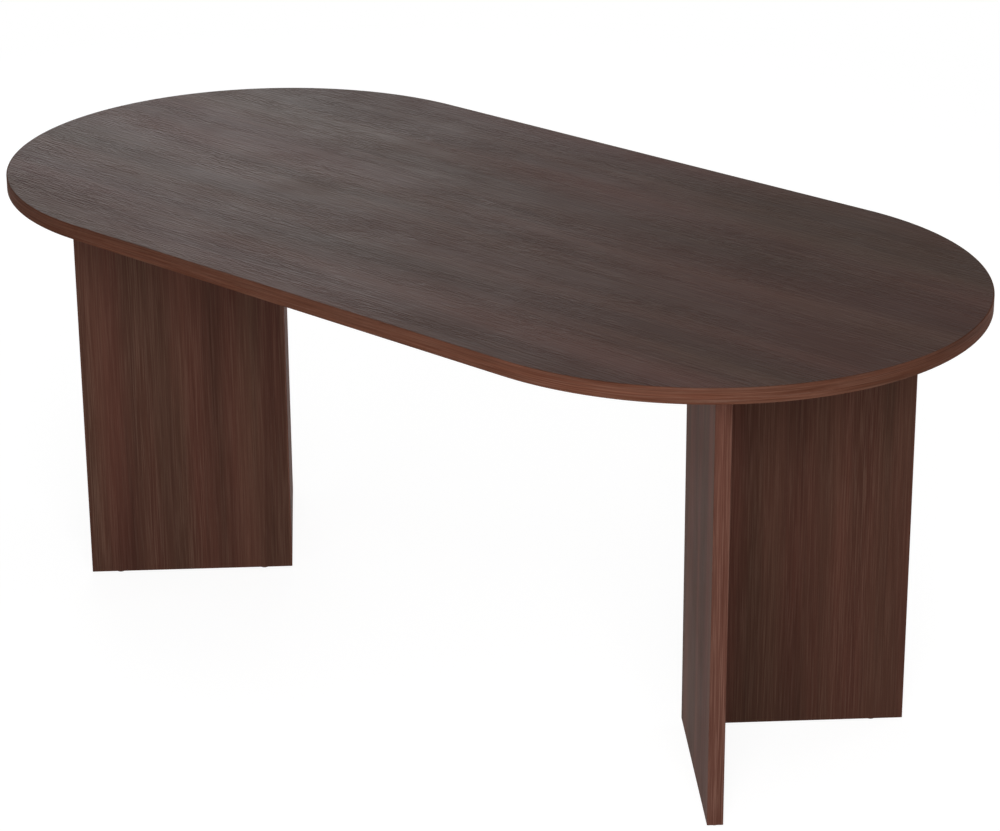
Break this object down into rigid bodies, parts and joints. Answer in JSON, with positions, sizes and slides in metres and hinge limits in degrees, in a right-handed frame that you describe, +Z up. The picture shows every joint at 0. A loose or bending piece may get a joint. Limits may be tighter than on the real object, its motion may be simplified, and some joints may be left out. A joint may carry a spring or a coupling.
{
  "type": "dining table",
  "caption": "Racetrack dining table: a flat board top with round ends and a banded edge, on two V shaped legs of upright panels set corner to corner.",
  "frame": {"origin": "on the floor under the middle of the top", "axes": "+X along the table's length, +Y across it towards the back arms of the legs, +Z up"},
  "size_m": [1.8296, 0.9, 0.76],
  "materials": {
    "top_laminate": "dark walnut decorative laminate, fine straight grain along the table, pressed pores, satin",
    "backing_laminate": "plain dark brown balancing laminate, matte",
    "panel_laminate": "dark walnut decorative laminate, upright grain, satin",
    "top_band": "red brown wood print edge band with streaks along it, satin",
    "panel_band": "red brown wood print edge band with upright streaks, satin",
    "particle_board": "raw particle board, chips pressed flat",
    "beech": "raw beech dowel",
    "black_steel": "black powder coat, fine texture",
    "zinc": "die cast zinc, dull",
    "plated_steel": "zinc plated steel, dull",
    "brown_plastic": "dark brown moulded plastic, matte"
  },
  "bodies": {
    "root": {"tabletop_core": "particle_board", "tabletop_upper_laminate": "top_laminate", "tabletop_under_laminate": "backing_laminate", "tabletop_edge_band": "top_band", "right_front_panel_core": "particle_board", "right_back_panel_core": "particle_board", "right_front_panel_outer_laminate": "panel_laminate", "right_front_panel_inner_laminate": "panel_laminate", "right_back_panel_outer_laminate": "panel_laminate", "right_back_panel_inner_laminate": "panel_laminate", "right_front_panel_end_band": "panel_band", "right_front_panel_corner_band": "panel_band", "right_front_panel_foot_band": "panel_band", "right_back_panel_end_band": "panel_band", "right_back_panel_foot_band": "panel_band", "right_corner_cams": "zinc", "right_corner_cam_bolts": "zinc", "right_corner_cam_caps": "brown_plastic", "right_corner_dowels": "beech", "right_top_dowels": "beech", "right_front_inner_bracket": "black_steel", "right_front_outer_bracket": "black_steel", "right_back_inner_bracket": "black_steel", "right_back_outer_bracket": "black_steel", "right_bracket_screws": "plated_steel", "right_front_outer_glide": "brown_plastic", "right_front_corner_glide": "brown_plastic", "right_back_outer_glide": "brown_plastic", "right_glide_nails": "plated_steel", "left_front_panel_core": "particle_board", "left_back_panel_core": "particle_board", "left_front_panel_outer_laminate": "panel_laminate", "left_front_panel_inner_laminate": "panel_laminate", "left_back_panel_outer_laminate": "panel_laminate", "left_back_panel_inner_laminate": "panel_laminate", "left_front_panel_end_band": "panel_band", "left_front_panel_corner_band": "panel_band", "left_front_panel_foot_band": "panel_band", "left_back_panel_end_band": "panel_band", "left_back_panel_foot_band": "panel_band", "left_corner_cams": "zinc", "left_corner_cam_bolts": "zinc", "left_corner_cam_caps": "brown_plastic", "left_corner_dowels": "beech", "left_top_dowels": "beech", "left_front_inner_bracket": "black_steel", "left_front_outer_bracket": "black_steel", "left_back_inner_bracket": "black_steel", "left_back_outer_bracket": "black_steel", "left_bracket_screws": "plated_steel", "left_front_outer_glide": "brown_plastic", "left_front_corner_glide": "brown_plastic", "left_back_outer_glide": "brown_plastic", "left_glide_nails": "plated_steel"}
  },
  "joints": []
}
